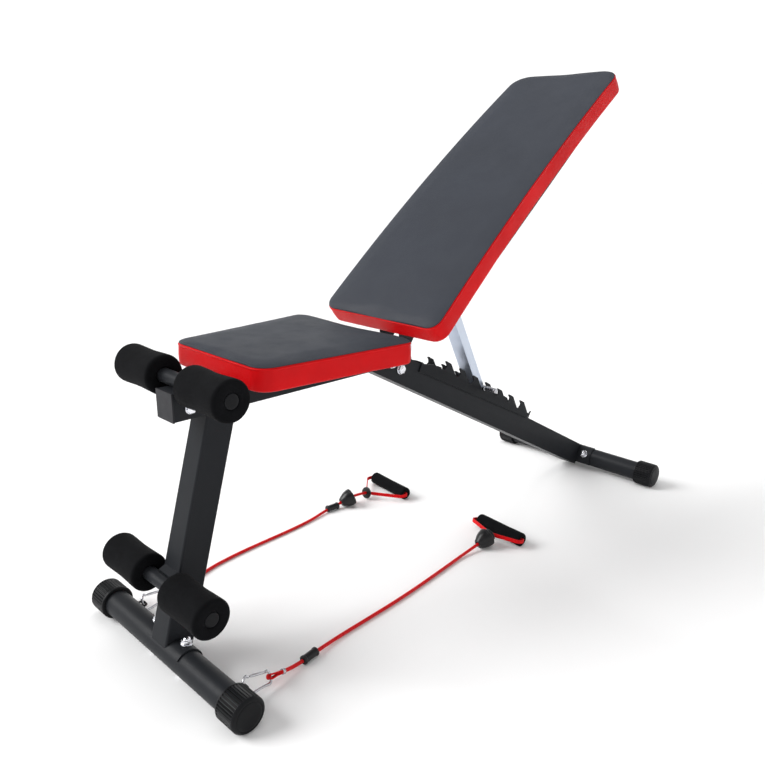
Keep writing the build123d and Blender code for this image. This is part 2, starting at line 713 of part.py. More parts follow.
def band(name, eye_x, aim, route, sleeve_at, stopper_at, grip_centre, grip_turn):
    """One resistance band: eye, snap hook, gate, webbing, crimp, cord and handle."""
    reach = Vector(*aim).normalized()
    across = Vector(0.5, 0, -0.866).normalized()
    across = (across - reach * across.dot(reach)).normalized()
    hook = Plane(origin=world(eye_x, eye_reach - eye_wire_r - hook_wire_r - 0.2, foot_axis_z),
                 x_dir=reach, z_dir=reach.cross(across))

    with BuildPart() as eye:
        with BuildLine() as eye_path:
            FilletPolyline((eye_x - eye_half_width, front_y + foot_tube_r - 1, foot_axis_z),
                           (eye_x - eye_half_width, front_y + eye_reach, foot_axis_z),
                           (eye_x + eye_half_width, front_y + eye_reach, foot_axis_z),
                           (eye_x + eye_half_width, front_y + foot_tube_r - 1, foot_axis_z), radius=6)
        with BuildSketch(Plane(origin=eye_path.line @ 0, z_dir=eye_path.line % 0)) as eye_wire:
            Circle(eye_wire_r)
        sweep(eye_wire.sketch, path=eye_path.line)
        rod_x(eye_x - 20, eye_x + 20, (front_y, foot_axis_z), foot_tube_r + 0.05, mode=Mode.SUBTRACT)

    # the hook's frame is open on its upper leg, where the gate closes it
    gate_start = hook.from_local_coords(Vector(46, -10.55, 0))
    gate_end = hook.from_local_coords(Vector(16, -12.9, 0))
    gate_dir = (gate_end - gate_start).normalized()
    gate_length = (gate_end - gate_start).length
    with BuildPart() as hook_frame:
        with BuildLine(hook) as hook_path:
            FilletPolyline((49.2, -10.3), (hook_length, -9.6), (hook_length, 9.6), (0, 14.0), (0, -14.0),
                           (12.8, -13.15), radius=[5.5, 5.5, 9.5, 9.5])
        with BuildSketch(Plane(origin=hook_path.line @ 0, z_dir=hook_path.line % 0)) as hook_wire:
            Circle(hook_wire_r)
        sweep(hook_wire.sketch, path=hook_path.line)
        # a cheek each side of the gate's root carries its rivet
        for side in (-1, 1):
            outward = hook.z_dir * side
            cheek_start = gate_start + outward * 2.95
            with BuildSketch(Plane(origin=cheek_start, x_dir=hook.x_dir, z_dir=outward)) as cheek:
                with Locations((2.6, 0)):
                    SlotCenterToCenter(5.2, 5.2)
            extrude(cheek.sketch, amount=0.9)
            rod_along(gate_start + hook.x_dir * 5.4, outward, 3.4, 1.5)
        rod_along(gate_start - hook.z_dir * 5, hook.z_dir, 10, rivet_r + running_clearance,
                  mode=Mode.SUBTRACT)
    save(hook_frame, f"hook_{name}")

    with BuildPart() as gate:
        rod_along(gate_start, gate_dir, gate_length, hook_wire_r + 0.2)
        with Locations(gate_start):
            Sphere(hook_wire_r + 0.2)
        rod_along(gate_start - hook.z_dir * 4.2, hook.z_dir, 8.4, rivet_r)
    save(gate, f"gate_{name}")

    with BuildPart() as webbing:
        with BuildSketch(Plane(origin=hook.from_local_coords(Vector(hook_length, 0, 0)),
                               x_dir=reach, z_dir=across).offset(-5.75)) as loop_profile:
            SlotCenterToCenter(44, 9.0)
            SlotCenterToCenter(44, 5.4, mode=Mode.SUBTRACT)
            with Locations((-22, 0)):
                Rectangle(44, 20, mode=Mode.SUBTRACT)
            Circle(4.5)
            Circle(2.7, mode=Mode.SUBTRACT)
        extrude(loop_profile.sketch, amount=11.5)
    save(webbing, f"webbing_{name}")

    crimp_start = hook.from_local_coords(Vector(hook_length + 26.6, 0, 0))
    with BuildPart() as crimp:
        rod_along(crimp_start, reach, 6.4, 5.5)

    crimp_end = crimp_start + reach * 6.4
    points = [crimp_end, crimp_end + reach * 16] + [world(*p) for p in route]
    radii = cord_radii(points)
    with BuildPart() as cord:
        with BuildLine() as cord_path:
            FilletPolyline(*points, radius=radii)
        with BuildSketch(Plane(origin=cord_path.line @ 0, z_dir=cord_path.line % 0)) as cord_section:
            Circle(cord_r)
        sweep(cord_section.sketch, path=cord_path.line)
    save(cord, f"cord_{name}")
    print(name, "cord length", round(cord_path.wire().length, 1), "radii", [round(r) for r in radii])
    print(name, "route", [tuple(round(c, 2) for c in p) for p in points])

    sleeve_start = world(*sleeve_at[0])
    sleeve_dir = (world(*sleeve_at[1]) - sleeve_start).normalized()
    with BuildPart() as sleeve:
        rod_along(sleeve_start, sleeve_dir, 36, 8.5, 6.5)

    nose = world(*stopper_at[0])
    nose_dir = (world(*stopper_at[1]) - nose).normalized()
    with BuildPart() as stopper:
        rod_along(nose, nose_dir, 14, 11, end_r=18)
        rod_along(nose + nose_dir * 14, nose_dir, 14, 18, end_r=21.5)
        rod_along(nose + nose_dir * 28, nose_dir, 6, 21.5)
        rod_along(nose + nose_dir * 10, nose_dir, 30, 15.5, mode=Mode.SUBTRACT)
        rod_along(nose - nose_dir, nose_dir, 36, 6.2, mode=Mode.SUBTRACT)
    save(stopper, f"stopper_{name}")

    end = points[-1]
    end_dir = (points[-1] - points[-2]).normalized()
    with BuildPart() as disc:
        rod_along(end + end_dir * 0.02, end_dir, 5, 15)

    turn = radians(grip_turn)
    along_grip = Vector(cos(turn), sin(turn), 0)
    middle = world(*grip_centre)
    with BuildPart() as grip:
        rod_along(middle - along_grip * (grip_length / 2), along_grip, grip_length, grip_r, 6.4)
    save(grip, f"grip_{name}")

    # a flat strap runs through the grip and comes forward from both its ends to the disc
    joint = end + end_dir * 5.1
    left = middle - along_grip * (grip_length / 2 + 8)
    right = middle + along_grip * (grip_length / 2 + 8)
    strap_normal = (right - left).cross(joint - left).normalized()
    forward = strap_normal.cross(left - right).normalized()
    if forward.dot(joint - middle) < 0:
        forward = forward * -1
    with BuildPart() as strap:
        with BuildLine() as strap_path:
            FilletPolyline(joint - along_grip * 5, left + forward * 23, left, right,
                           right + forward * 23, joint + along_grip * 5, radius=[11, 5.5, 5.5, 11])
        start_plane = Plane(origin=strap_path.line @ 0, x_dir=strap_normal, z_dir=strap_path.line % 0)
        with BuildSketch(start_plane) as strap_section:
            Rectangle(9, 3)
        sweep(strap_section.sketch, path=strap_path.line)
    save(strap, f"strap_{name}")
    return {"band_eyes": eye.part, "band_crimps": crimp.part, "band_sleeves": sleeve.part,
            "band_discs": disc.part}


right_band = band("right", 180.0, (-0.075, 0.977, -0.213),
     [(171.0, 168.0, 8.5), (165.0, 212.0, 7.5), (157.5, 262.0, 3.8), (154.5, 340.0, 3.7),
      (151.0, 425.0, 3.8), (144.5, 505.0, 3.7), (136.5, 580.0, 3.8), (129.5, 640.0, 3.7),
      (127.5, 684.0, 6.5), (132.0, 722.0, 15.5), (135.6, 750.0, 25.4)],
     ((171.5, 164.0, 9.0), (166.4, 200.0, 9.0)), ((131.0, 714.4, 12.9), (135.6, 750.0, 25.4)),
     (127.0, 807.0, grip_z), -5.0)

left_band = band("left", -158.0, (-0.30, 0.93, -0.213),
     [(-203.0, 168.0, 5.0), (-215.0, 204.0, 3.8), (-224.5, 240.0, 3.7), (-232.0, 305.0, 3.8),
      (-235.5, 380.0, 3.7), (-237.5, 455.0, 3.8), (-243.0, 525.0, 3.7), (-255.5, 588.0, 6.0),
      (-252.0, 630.0, 11.6), (-241.0, 672.0, 26.6), (-243.0, 715.0, 17.5)],
     ((-255.0, 589.0, 8.8), (-252.2, 626.0, 8.8)), ((-251.0, 634.0, 13.0), (-241.0, 672.0, 26.6)),
     (-233.0, 796.6, grip_z), -6.5)

for label in right_band:
    with BuildPart() as pair:
        add(right_band[label])
        add(left_band[label])
    save(pair, label)
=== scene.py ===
import math

import bmesh
import bpy
from mathutils import Matrix, Vector, noise


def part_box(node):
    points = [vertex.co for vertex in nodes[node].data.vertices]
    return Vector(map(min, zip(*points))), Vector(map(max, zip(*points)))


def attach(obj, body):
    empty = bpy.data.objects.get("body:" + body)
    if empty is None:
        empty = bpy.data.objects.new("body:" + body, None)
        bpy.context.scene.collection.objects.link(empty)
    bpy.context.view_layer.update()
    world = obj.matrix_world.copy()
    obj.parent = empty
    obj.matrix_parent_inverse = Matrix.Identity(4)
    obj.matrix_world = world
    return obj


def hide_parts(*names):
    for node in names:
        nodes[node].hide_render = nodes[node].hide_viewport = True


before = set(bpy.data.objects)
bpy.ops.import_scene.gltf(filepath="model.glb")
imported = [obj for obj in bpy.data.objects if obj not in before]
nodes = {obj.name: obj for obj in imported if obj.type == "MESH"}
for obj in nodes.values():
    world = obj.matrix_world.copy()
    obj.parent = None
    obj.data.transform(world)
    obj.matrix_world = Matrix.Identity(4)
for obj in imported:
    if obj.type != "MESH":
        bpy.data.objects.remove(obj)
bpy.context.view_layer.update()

MM = 0.001
FLOOR_GAP = 0.0003
BACK_ANGLE = 38.5
LEG_ANGLE = 28.0
POST_TILT = 15.6
SADDLE_BOLT_X = 47.0
TUBE_SIDE = 25.1
CAP_LENGTH = 50.0
EYE_D = 33.2
EYE_Z = 31.0
HOOK_LENGTH = 58.0
CRIMP_OFFSET = 26.6
CRIMP_LENGTH = 6.4
WIRE_R = 2.4
CORD_DIAMETER = 7.0
foot_low, foot_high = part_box("front_foot_tube")
FRONT_Y = (foot_low.y + foot_high.y) / 2
FOOT_Z = (foot_low.z + foot_high.z) / 2
REAR_Y = sum(corner.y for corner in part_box("rear_foot_tube")) / 2


def at(x, d, z):
    """Row-frame point from millimetres: x, distance behind the front foot's axis, height."""
    return Vector((x * MM, FRONT_Y + d * MM, z * MM))


def box_middle(node):
    low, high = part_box(node)
    return (low + high) / 2


# ---------------------------------------------------------------- camera, floor and light
def add_camera():
    """Camera a metre to the right of the bench and in front of it, looking down at it."""
    yaw, pitch, roll = 0.784524, -0.291383, 0.008711
    forward = Vector((-math.sin(yaw) * math.cos(pitch), math.cos(yaw) * math.cos(pitch), math.sin(pitch)))
    level = Vector((math.cos(yaw), math.sin(yaw), 0))
    upright = level.cross(forward)
    right = level * math.cos(roll) + upright * math.sin(roll)
    up = upright * math.cos(roll) - level * math.sin(roll)
    data = bpy.data.cameras.new("camera")
    data.sensor_width = 36.0
    data.lens = 35.511
    data.clip_start = 0.05
    data.clip_end = 100
    camera = bpy.data.objects.new("camera", data)
    camera.matrix_world = Matrix.Translation(at(1075.76, -547.41, 869.34)) @ Matrix(
        (right, up, -forward)).transposed().to_4x4()
    bpy.context.scene.collection.objects.link(camera)
    bpy.context.scene.camera = camera


def add_area_light(name, place, target, size, power, color=(1, 1, 1)):
    data = bpy.data.lights.new(name, "AREA")
    data.shape = "RECTANGLE"
    data.size, data.size_y = size
    data.energy = power
    data.color = color
    light = bpy.data.objects.new(name, data)
    light.location = place
    light.rotation_mode = "QUATERNION"
    light.rotation_quaternion = (Vector(target) - Vector(place)).to_track_quat("-Z", "Y")
    bpy.context.scene.collection.objects.link(light)


def add_studio():
    """White floor and horizon under a dimmer sky, a broad key from the front left and a top light."""
    world = bpy.data.worlds.new("studio")
    bpy.context.scene.world = world
    world.use_nodes = True
    tree = world.node_tree
    direction = add_node(tree, "ShaderNodeTexCoord").outputs["Generated"]
    height = add_node(tree, "ShaderNodeSeparateXYZ", Vector=direction).outputs["Z"]
    level = add_node(tree, "ShaderNodeMapRange", {"interpolation_type": "SMOOTHSTEP"}, Value=height,
                     From_Min=0.27, From_Max=0.6, To_Min=1.12, To_Max=0.42)
    background = tree.nodes["Background"]
    background.inputs["Color"].default_value = (1.0, 1.0, 1.0, 1)
    tree.links.new(level.outputs["Result"], background.inputs["Strength"])
    bpy.context.scene.view_settings.view_transform = "Standard"

    sun = bpy.data.lights.new("key", "SUN")
    sun.energy = 2.9
    sun.angle = math.radians(35)
    key = bpy.data.objects.new("key", sun)
    key.rotation_mode = "QUATERNION"
    key.rotation_quaternion = Vector((0.58, 0.62, -0.62)).to_track_quat("-Z", "Y")
    bpy.context.scene.collection.objects.link(key)
    add_area_light("top", (-0.4, 0.3, 3.4), (0, 0.1, 0), (2.4, 2.4), 30)

    mesh = bpy.data.meshes.new("floor")
    half = 30.0
    corners = [(-half, -half), (half, -half), (half, half), (-half, half)]
    mesh.from_pydata([(x, y, -FLOOR_GAP) for x, y in corners], [], [(0, 1, 2, 3)])
    floor = bpy.data.objects.new("floor", mesh)
    bpy.context.scene.collection.objects.link(floor)
    floor.data.materials.append(surface("floor", (0.94, 0.94, 0.94), 0.9, specular=0.05, tint=(1.5, 0.006)))


# ---------------------------------------------------------------- materials
def add_node(tree, kind, settings=None, **inputs):
    """New node; an input given as a socket is linked, any other value is set."""
    made = tree.nodes.new(kind)
    for name, value in (settings or {}).items():
        setattr(made, name, value)
    for name, value in inputs.items():
        socket = made.inputs[name.replace("_", " ")]
        if isinstance(value, bpy.types.NodeSocket):
            tree.links.new(value, socket)
        else:
            socket.default_value = value
    return made


def scaled(color, factor):
    return tuple(min(1.0, c * factor) for c in color) + (1.0,)


def pattern(tree, coords, kind, scale, stretch=None):
    """Height between 0 and 1 of one fine surface pattern, scale in repeats per metre."""
    if stretch:
        coords = add_node(tree, "ShaderNodeMapping", Vector=coords, Scale=stretch).outputs["Vector"]
    if kind == "grain":
        cells = add_node(tree, "ShaderNodeTexVoronoi", {"feature": "DISTANCE_TO_EDGE"}, Vector=coords,
                         Scale=scale)
        return add_node(tree, "ShaderNodeMapRange", {"interpolation_type": "SMOOTHSTEP"},
                        Value=cells.outputs["Distance"], From_Max=0.22).outputs["Result"]
    if kind == "cells":
        return add_node(tree, "ShaderNodeTexVoronoi", {"feature": "SMOOTH_F1"}, Vector=coords,
                        Scale=scale).outputs["Distance"]
    if kind == "bands":
        return add_node(tree, "ShaderNodeTexWave", {"bands_direction": "X"}, Vector=coords, Scale=scale,
                        Distortion=0.6).outputs["Fac"]
    return add_node(tree, "ShaderNodeTexNoise", Vector=coords, Scale=scale, Detail=4.0,
                    Roughness=0.6).outputs["Fac"]


def surface(name, color, rough, metallic=0.0, specular=0.5, bumps=(), tint=None, rough_spread=0.0,
            rough_scale=60.0, edge=None, sheen=0.0):
    """Procedural material: colour drift, patchy roughness, painted edge highlights and layered fine relief.

    bumps: (kind, scale, depth in millimetres, stretch) layers; tint: (scale, amount) of colour drift;
    edge: (colour, amount) of a painted highlight, mixed in where the surface is convex."""
    made = bpy.data.materials.new(name)
    made.use_nodes = True
    tree = made.node_tree
    shader = tree.nodes["Principled BSDF"]
    shader.inputs["Metallic"].default_value = metallic
    shader.inputs["Specular IOR Level"].default_value = specular
    shader.inputs["Sheen Weight"].default_value = sheen
    coords = add_node(tree, "ShaderNodeTexCoord").outputs["Object"]

    drift_scale, drift = tint or (25.0, 0.08)
    drift_noise = pattern(tree, coords, "noise", drift_scale)
    drift_fac = add_node(tree, "ShaderNodeMapRange", Value=drift_noise, From_Min=0.3,
                         From_Max=0.7).outputs["Result"]
    mixed = add_node(tree, "ShaderNodeMix", {"data_type": "RGBA"})
    tree.links.new(drift_fac, mixed.inputs[0])
    mixed.inputs[6].default_value = scaled(color, 1 - drift)
    mixed.inputs[7].default_value = scaled(color, 1 + drift)
    result = mixed.outputs[2]
    # painted highlight: a lighter colour mixed into convex edges, standing in for light caught by them
    if edge:
        edge_color, amount = edge
        convex = add_node(tree, "ShaderNodeNewGeometry").outputs["Pointiness"]
        painted_edge_highlight = add_node(tree, "ShaderNodeMapRange", Value=convex, From_Min=0.52, From_Max=0.62,
                        To_Max=amount).outputs["Result"]
        edged = add_node(tree, "ShaderNodeMix", {"data_type": "RGBA"})
        tree.links.new(painted_edge_highlight, edged.inputs[0])
        tree.links.new(result, edged.inputs[6])
        edged.inputs[7].default_value = scaled(edge_color, 1)
        result = edged.outputs[2]
    tree.links.new(result, shader.inputs["Base Color"])

    patches = pattern(tree, coords, "noise", rough_scale)
    spread = max(rough_spread, 0.01)
    rough_map = add_node(tree, "ShaderNodeMapRange", Value=patches, From_Min=0.3, From_Max=0.7,
                         To_Min=rough - spread, To_Max=rough + spread)
    tree.links.new(rough_map.outputs["Result"], shader.inputs["Roughness"])

    normal = None
    for kind, scale, depth, *stretch in bumps:
        height = pattern(tree, coords, kind, scale, *stretch)
        bump = add_node(tree, "ShaderNodeBump", Height=height, Strength=1.0, Distance=depth * MM)
        if normal:
            tree.links.new(normal, bump.inputs["Normal"])
        normal = bump.outputs["Normal"]
    if normal:
        tree.links.new(normal, shader.inputs["Normal"])
    return made


def make_materials():
    """Every finish on the bench, by name."""
    return {
        # edge entries paint a lighter highlight along each finish's convex edges
        "paint": surface("powder_coat", (0.0042, 0.0050, 0.0066), 0.40, specular=0.09, rough_spread=0.05,
                         bumps=[("noise", 900, 0.06), ("cells", 1500, 0.03)], tint=(12, 0.15),
                         edge=((0.03, 0.032, 0.036), 0.5)),
        "vinyl": surface("grained_vinyl", (0.021, 0.025, 0.035), 0.52, specular=0.22, rough_spread=0.05,
                         rough_scale=18, tint=(7, 0.08),
                         bumps=[("noise", 7, 0.5), ("grain", 620, 0.10), ("noise", 1600, 0.04)]),
        "red_vinyl": surface("red_vinyl", (0.60, 0.0008, 0.003), 0.44, specular=0.13, rough_spread=0.06,
                             rough_scale=22, bumps=[("noise", 26, 0.35), ("grain", 620, 0.09)],
                             tint=(9, 0.12)),
        "foam": surface("closed_cell_foam", (0.0040, 0.0042, 0.0050), 0.9, specular=0.07, sheen=0.01,
                        bumps=[("cells", 900, 0.28), ("noise", 2200, 0.16), ("noise", 130, 0.3)],
                        tint=(60, 0.25)),
        "cap": surface("cap_plastic", (0.0046, 0.0050, 0.0060), 0.42, specular=0.13, rough_spread=0.06,
                       bumps=[("noise", 1400, 0.05)], tint=(30, 0.15), edge=((0.04, 0.04, 0.045), 0.55)),
        "moulded": surface("moulded_plastic", (0.006, 0.006, 0.007), 0.34, specular=0.3, rough_spread=0.05,
                           bumps=[("noise", 1100, 0.04)], edge=((0.04, 0.04, 0.045), 0.5)),
        "chrome": surface("bright_plate", (0.80, 0.81, 0.85), 0.14, metallic=1.0, rough_spread=0.04,
                          rough_scale=240, bumps=[("noise", 260, 0.02)], tint=(90, 0.04)),
        "wire": surface("plated_wire", (0.52, 0.52, 0.55), 0.24, metallic=1.0, rough_spread=0.05,
                        rough_scale=300, bumps=[("noise", 420, 0.03)], tint=(120, 0.08)),
        "strut": surface("silver_lacquer", (0.40, 0.47, 0.60), 0.34, metallic=0.75, rough_spread=0.05,
                         rough_scale=50, bumps=[("noise", 500, 0.04, (1, 1, 0.1))], tint=(20, 0.06),
                         edge=((0.75, 0.8, 0.88), 0.6)),
        "board": surface("painted_board", (0.007, 0.0068, 0.0065), 0.72, specular=0.2, rough_spread=0.08,
                         bumps=[("noise", 90, 0.25, (1, 0.06, 0.06)), ("noise", 800, 0.05)],
                         tint=(40, 0.25), edge=((0.03, 0.025, 0.02), 0.4)),
        "latex": surface("red_latex", (0.58, 0.0015, 0.004), 0.30, specular=0.25, rough_spread=0.05,
                         rough_scale=120, bumps=[("noise", 500, 0.05)], tint=(60, 0.1)),
        "webbing": surface("red_webbing", (0.56, 0.0015, 0.004), 0.72, specular=0.12, sheen=0.06,
                           bumps=[("bands", 160, 0.18), ("bands", 160, 0.18, (0, 1, 1)),
                                  ("noise", 2500, 0.06)], tint=(200, 0.2)),
    }


# ---------------------------------------------------------------- mesh helpers
def new_object(name, mesh, material, body, shade_angle=40.0):
    piece = bpy.data.objects.new(name, mesh)
    bpy.context.scene.collection.objects.link(piece)
    if isinstance(material, (list, tuple)):
        for one in material:
            mesh.materials.append(one)
    else:
        mesh.materials.append(material)
    if shade_angle is not None and isinstance(mesh, bpy.types.Mesh):
        mesh.shade_smooth()
        mesh.set_sharp_from_angle(angle=math.radians(shade_angle))
    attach(piece, body)
    return piece


def axis_matrix(start, direction):
    """Matrix whose z axis runs along a direction from a start point."""
    turn = Vector(direction).normalized().to_track_quat("Z", "Y").to_matrix().to_4x4()
    return Matrix.Translation(start) @ turn


def lathe(bm, profile, start, direction, steps=64, ripple=None, floor_z=None, closed=True):
    """Adds a turned shape to bm. profile: (along, radius) in millimetres, from one end to the other.

    ripple(angle, along, radius) may change a radius; floor_z flattens what would go lower."""
    place = axis_matrix(start, direction)
    rings = []
    for along, radius in profile:
        ring = []
        for index in range(steps):
            angle = 2 * math.pi * index / steps
            r = ripple(angle, along, radius) if ripple else radius
            point = place @ Vector((r * MM * math.cos(angle), r * MM * math.sin(angle), along * MM))
            if floor_z is not None:
                point.z = max(point.z, floor_z)
            ring.append(bm.verts.new(point))
        rings.append(ring)
    for low, high in zip(rings, rings[1:]):
        for index in range(steps):
            after = (index + 1) % steps
            bm.faces.new((low[index], low[after], high[after], high[index]))
    if closed:
        bm.faces.new(list(reversed(rings[0])))
        bm.faces.new(rings[-1])
    else:
        for index in range(steps):
            after = (index + 1) % steps
            bm.faces.new((rings[-1][index], rings[-1][after], rings[0][after], rings[0][index]))
    return rings


def finish_mesh(name, bm):
    bmesh.ops.recalc_face_normals(bm, faces=bm.faces)
    mesh = bpy.data.meshes.new(name)
    bm.to_mesh(mesh)
    bm.free()
    return mesh


def arc(centre_along, centre_radius, radius, first, last, count=6):
    """Profile points round a corner, angles in degrees from straight out towards the far end."""
    points = []
    for index in range(count + 1):
        angle = math.radians(first + (last - first) * index / count)
        points.append((centre_along + radius * math.sin(angle), centre_radius + radius * math.cos(angle)))
    return points


def hexagon(bm, start, direction, low, high, across, chamfer=0.9):
    """Nut or bolt head body: a hexagon with both rims turned down."""
    corner = across / 2 / math.cos(math.pi / 6)
    place = axis_matrix(start, direction)
    rows = ((low, 0.92), (low + chamfer * 0.6, 1.0), (high - chamfer * 0.6, 1.0), (high, 0.92))
    rings = []
    for along, share in rows:
        rings.append([bm.verts.new(place @ Vector((corner * share * MM * math.cos(math.pi / 3 * k),
                                                   corner * share * MM * math.sin(math.pi / 3 * k),
                                                   along * MM))) for k in range(6)])
    for lower, upper in zip(rings, rings[1:]):
        for k in range(6):
            bm.faces.new((lower[k], lower[(k + 1) % 6], upper[(k + 1) % 6], upper[k]))
    bm.faces.new(list(reversed(rings[0])))
    bm.faces.new(rings[-1])


def bevelled(node, width, material, segments=3, angle=35.0):
    """Gives a carried-over CAD node its material and soft, catching edges."""
    piece = nodes[node]
    piece.data.materials.clear()
    piece.data.materials.append(material)
    if width:
        bevel = piece.modifiers.new("edges", "BEVEL")
        bevel.width = width * MM
        bevel.segments = segments
        bevel.limit_method = "ANGLE"
        bevel.angle_limit = math.radians(angle)
        bevel.harden_normals = True
        bevel.use_clamp_overlap = True
    return piece


# ---------------------------------------------------------------- resistance bands
def route_curve(name, points, diameter, material, body):
    """Smooth cord whose control points are a route in metres."""
    data = bpy.data.curves.new(name, "CURVE")
    data.dimensions = "3D"
    spline = data.splines.new("NURBS")
    spline.points.add(len(points) - 1)
    for control, place in zip(spline.points, points):
        control.co = (*place, 1)
    spline.order_u = 3
    spline.use_endpoint_u = True
    spline.resolution_u = 12
    data.bevel_depth = diameter / 2
    data.bevel_resolution = 6
    data.use_fill_caps = True
    return new_object(name, data, material, body, None)


def band_route(eye_x, aim, route):
    """Route of one band's cord in metres: out of the crimp, then along the floor."""
    reach = Vector(aim).normalized()
    eye = at(eye_x, EYE_D, EYE_Z)
    crimp_end = eye + reach * (HOOK_LENGTH + CRIMP_OFFSET + CRIMP_LENGTH) * MM
    return [crimp_end, crimp_end + reach * 16 * MM] + [at(*p) for p in route]


BANDS = {
    "right": {
        "eye": 180.0, "aim": (-0.075, 0.977, -0.213),
        "route": [(171.0, 168.0, 8.5), (165.0, 212.0, 7.5), (157.5, 262.0, 3.8), (154.5, 340.0, 3.7),
                  (151.0, 425.0, 3.8), (144.5, 505.0, 3.7), (136.5, 580.0, 3.8), (129.5, 640.0, 3.7),
                  (127.5, 684.0, 6.5), (132.0, 722.0, 15.5), (135.6, 750.0, 25.4)],
        "sleeve": ((171.5, 164.0, 9.0), (166.4, 200.0, 9.0)),
        "stopper": ((131.0, 714.4, 12.9), (135.6, 750.0, 25.4)),
        "grip": (127.0, 807.0, -5.0), "length": 0.632},
    "left": {
        "eye": -158.0, "aim": (-0.30, 0.93, -0.213),
        "route": [(-203.0, 168.0, 5.0), (-215.0, 204.0, 3.8), (-224.5, 240.0, 3.7), (-232.0, 305.0, 3.8),
                  (-235.5, 380.0, 3.7), (-237.5, 455.0, 3.8), (-243.0, 525.0, 3.7), (-255.5, 588.0, 6.0),
                  (-252.0, 630.0, 11.6), (-241.0, 672.0, 26.6), (-243.0, 715.0, 17.5)],
        "sleeve": ((-255.0, 589.0, 8.8), (-252.2, 626.0, 8.8)),
        "stopper": ((-251.0, 634.0, 13.0), (-241.0, 672.0, 26.6)),
        "grip": (-233.0, 796.6, -6.5), "length": 0.607},
}
GRIP_Z = 16.0
GRIP_LENGTH = 134.0


def ribbon(name, points, width, thickness, across, material, body, corner_steps=6, corner=7.0):
    """Flat strap along a path of points, its width along the direction across."""
    path = [points[0]]
    for before, here, after in zip(points, points[1:], points[2:]):
        into = (before - here).normalized()
        out = (after - here).normalized()
        cut = min(corner * MM, (before - here).length * 0.45, (after - here).length * 0.45)
        for step in range(corner_steps + 1):
            share = step / corner_steps
            start, end = here + into * cut, here + out * cut
            path.append(start.lerp(here, share).lerp(here.lerp(end, share), share))
    path.append(points[-1])
    bm = bmesh.new()
    wide = across.normalized() * (width / 2 * MM)
    rings = []
    for index, place in enumerate(path):
        before, after = path[max(index - 1, 0)], path[min(index + 1, len(path) - 1)]
        along = (after - before).normalized()
        thick = along.cross(across).normalized() * (thickness / 2 * MM)
        edge = wide * 0.9
        rings.append([bm.verts.new(place + offset) for offset in (
            wide, edge + thick, edge * 0.5 + thick * 1.06, -edge * 0.5 + thick * 1.06, -edge + thick,
            -wide, -edge - thick, -edge * 0.5 - thick * 1.06, edge * 0.5 - thick * 1.06, edge - thick)])
    count = len(rings[0])
    for low, high in zip(rings, rings[1:]):
        for index in range(count):
            bm.faces.new((low[index], low[(index + 1) % count], high[(index + 1) % count], high[index]))
    bm.faces.new(rings[0])
    bm.faces.new(rings[-1])
    return new_object(name, finish_mesh(name, bm), material, body, 50)


def hook_pieces(side, spec, finishes):
    """Wire snap hook, its gate, webbing loop and crimp at the front of one band; returns the crimp."""
    reach = Vector(spec["aim"]).normalized()
    across = Vector((0.5, 0, -0.866))
    across = (across - reach * across.dot(reach)).normalized()
    up = reach.cross(across).cross(reach).normalized()
    start = at(spec["eye"], EYE_D, EYE_Z)

    def local(u, v, w=0.0):
        return start + (reach * u + up * v + reach.cross(across) * w) * MM

    wire = bpy.data.curves.new(f"hook_wire_{side}", "CURVE")
    wire.dimensions = "3D"
    wire.bevel_depth = WIRE_R * MM
    wire.bevel_resolution = 6
    wire.use_fill_caps = True
    spline = wire.splines.new("BEZIER")
    outline = [(49.2, -10.3, 2), (55.5, -9.5, 4), (58.0, 0, 7), (55.5, 9.5, 4), (40, 11.0, 9),
               (6.0, 13.6, 6), (0, 0, 9), (5.5, -13.6, 5), (12.8, -13.1, 3)]
    spline.bezier_points.add(len(outline) - 1)
    for index, (u, v, reach_mm) in enumerate(outline):
        before = Vector(outline[max(index - 1, 0)][:2])
        after = Vector(outline[min(index + 1, len(outline) - 1)][:2])
        tangent = (after - before).normalized() * reach_mm
        point = spline.bezier_points[index]
        point.co = local(u, v)
        point.handle_left = local(u - tangent.x, v - tangent.y)
        point.handle_right = local(u + tangent.x, v + tangent.y)
    hook = new_object(f"hook_wire_{side}", wire, finishes["wire"], "frame", None)
    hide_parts(f"hook_{side}")

    bm = bmesh.new()
    pivot, tip = local(46, -10.55), local(16, -12.9)
    long = (tip - pivot).length / MM
    lathe(bm, [(-2.1, 0.8), (-1.5, 1.8), (-0.6, 2.4), (1.5, 2.6), (long - 5, 2.6), (long - 4, 2.2),
               (long - 1.5, 2.2), (long, 1.3)], pivot, tip - pivot, steps=24)
    lathe(bm, [(-3.6, 0.6), (-3.3, 1.1), (3.3, 1.1), (3.6, 0.6)], pivot, reach.cross(across), steps=16)
    gate = new_object(f"gate_bar_{side}", finish_mesh("gate", bm), finishes["wire"], f"gate_{side}")
    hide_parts(f"gate_{side}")

    bm = bmesh.new()
    crimp_at = local(HOOK_LENGTH + CRIMP_OFFSET, 0)
    lathe(bm, [(-0.2, 3.9), (0.2, 5.0), (1.2, 5.5), (2.4, 5.1), (3.2, 5.0), (4.0, 5.1), (5.2, 5.5),
               (6.2, 5.0), (6.5, 3.9)], crimp_at, reach, steps=32)
    crimp = new_object(f"crimp_{side}", finish_mesh("crimp", bm), finishes["wire"], "frame")

    loop = []
    for k in range(13):
        angle = math.pi / 2 + math.pi * k / 12
        loop.append(local(HOOK_LENGTH + 3.6 * math.cos(angle), 3.6 * math.sin(angle)))
    points = [local(84, 1.5), local(70, 1.9)] + loop + [local(70, -1.9), local(84, -1.5)]
    webbing = ribbon(f"webbing_loop_{side}", points, 11.5, 2.8, reach.cross(across),
                     finishes["webbing"], "frame", corner=1.0, corner_steps=2)
    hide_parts(f"webbing_{side}")
    return crimp


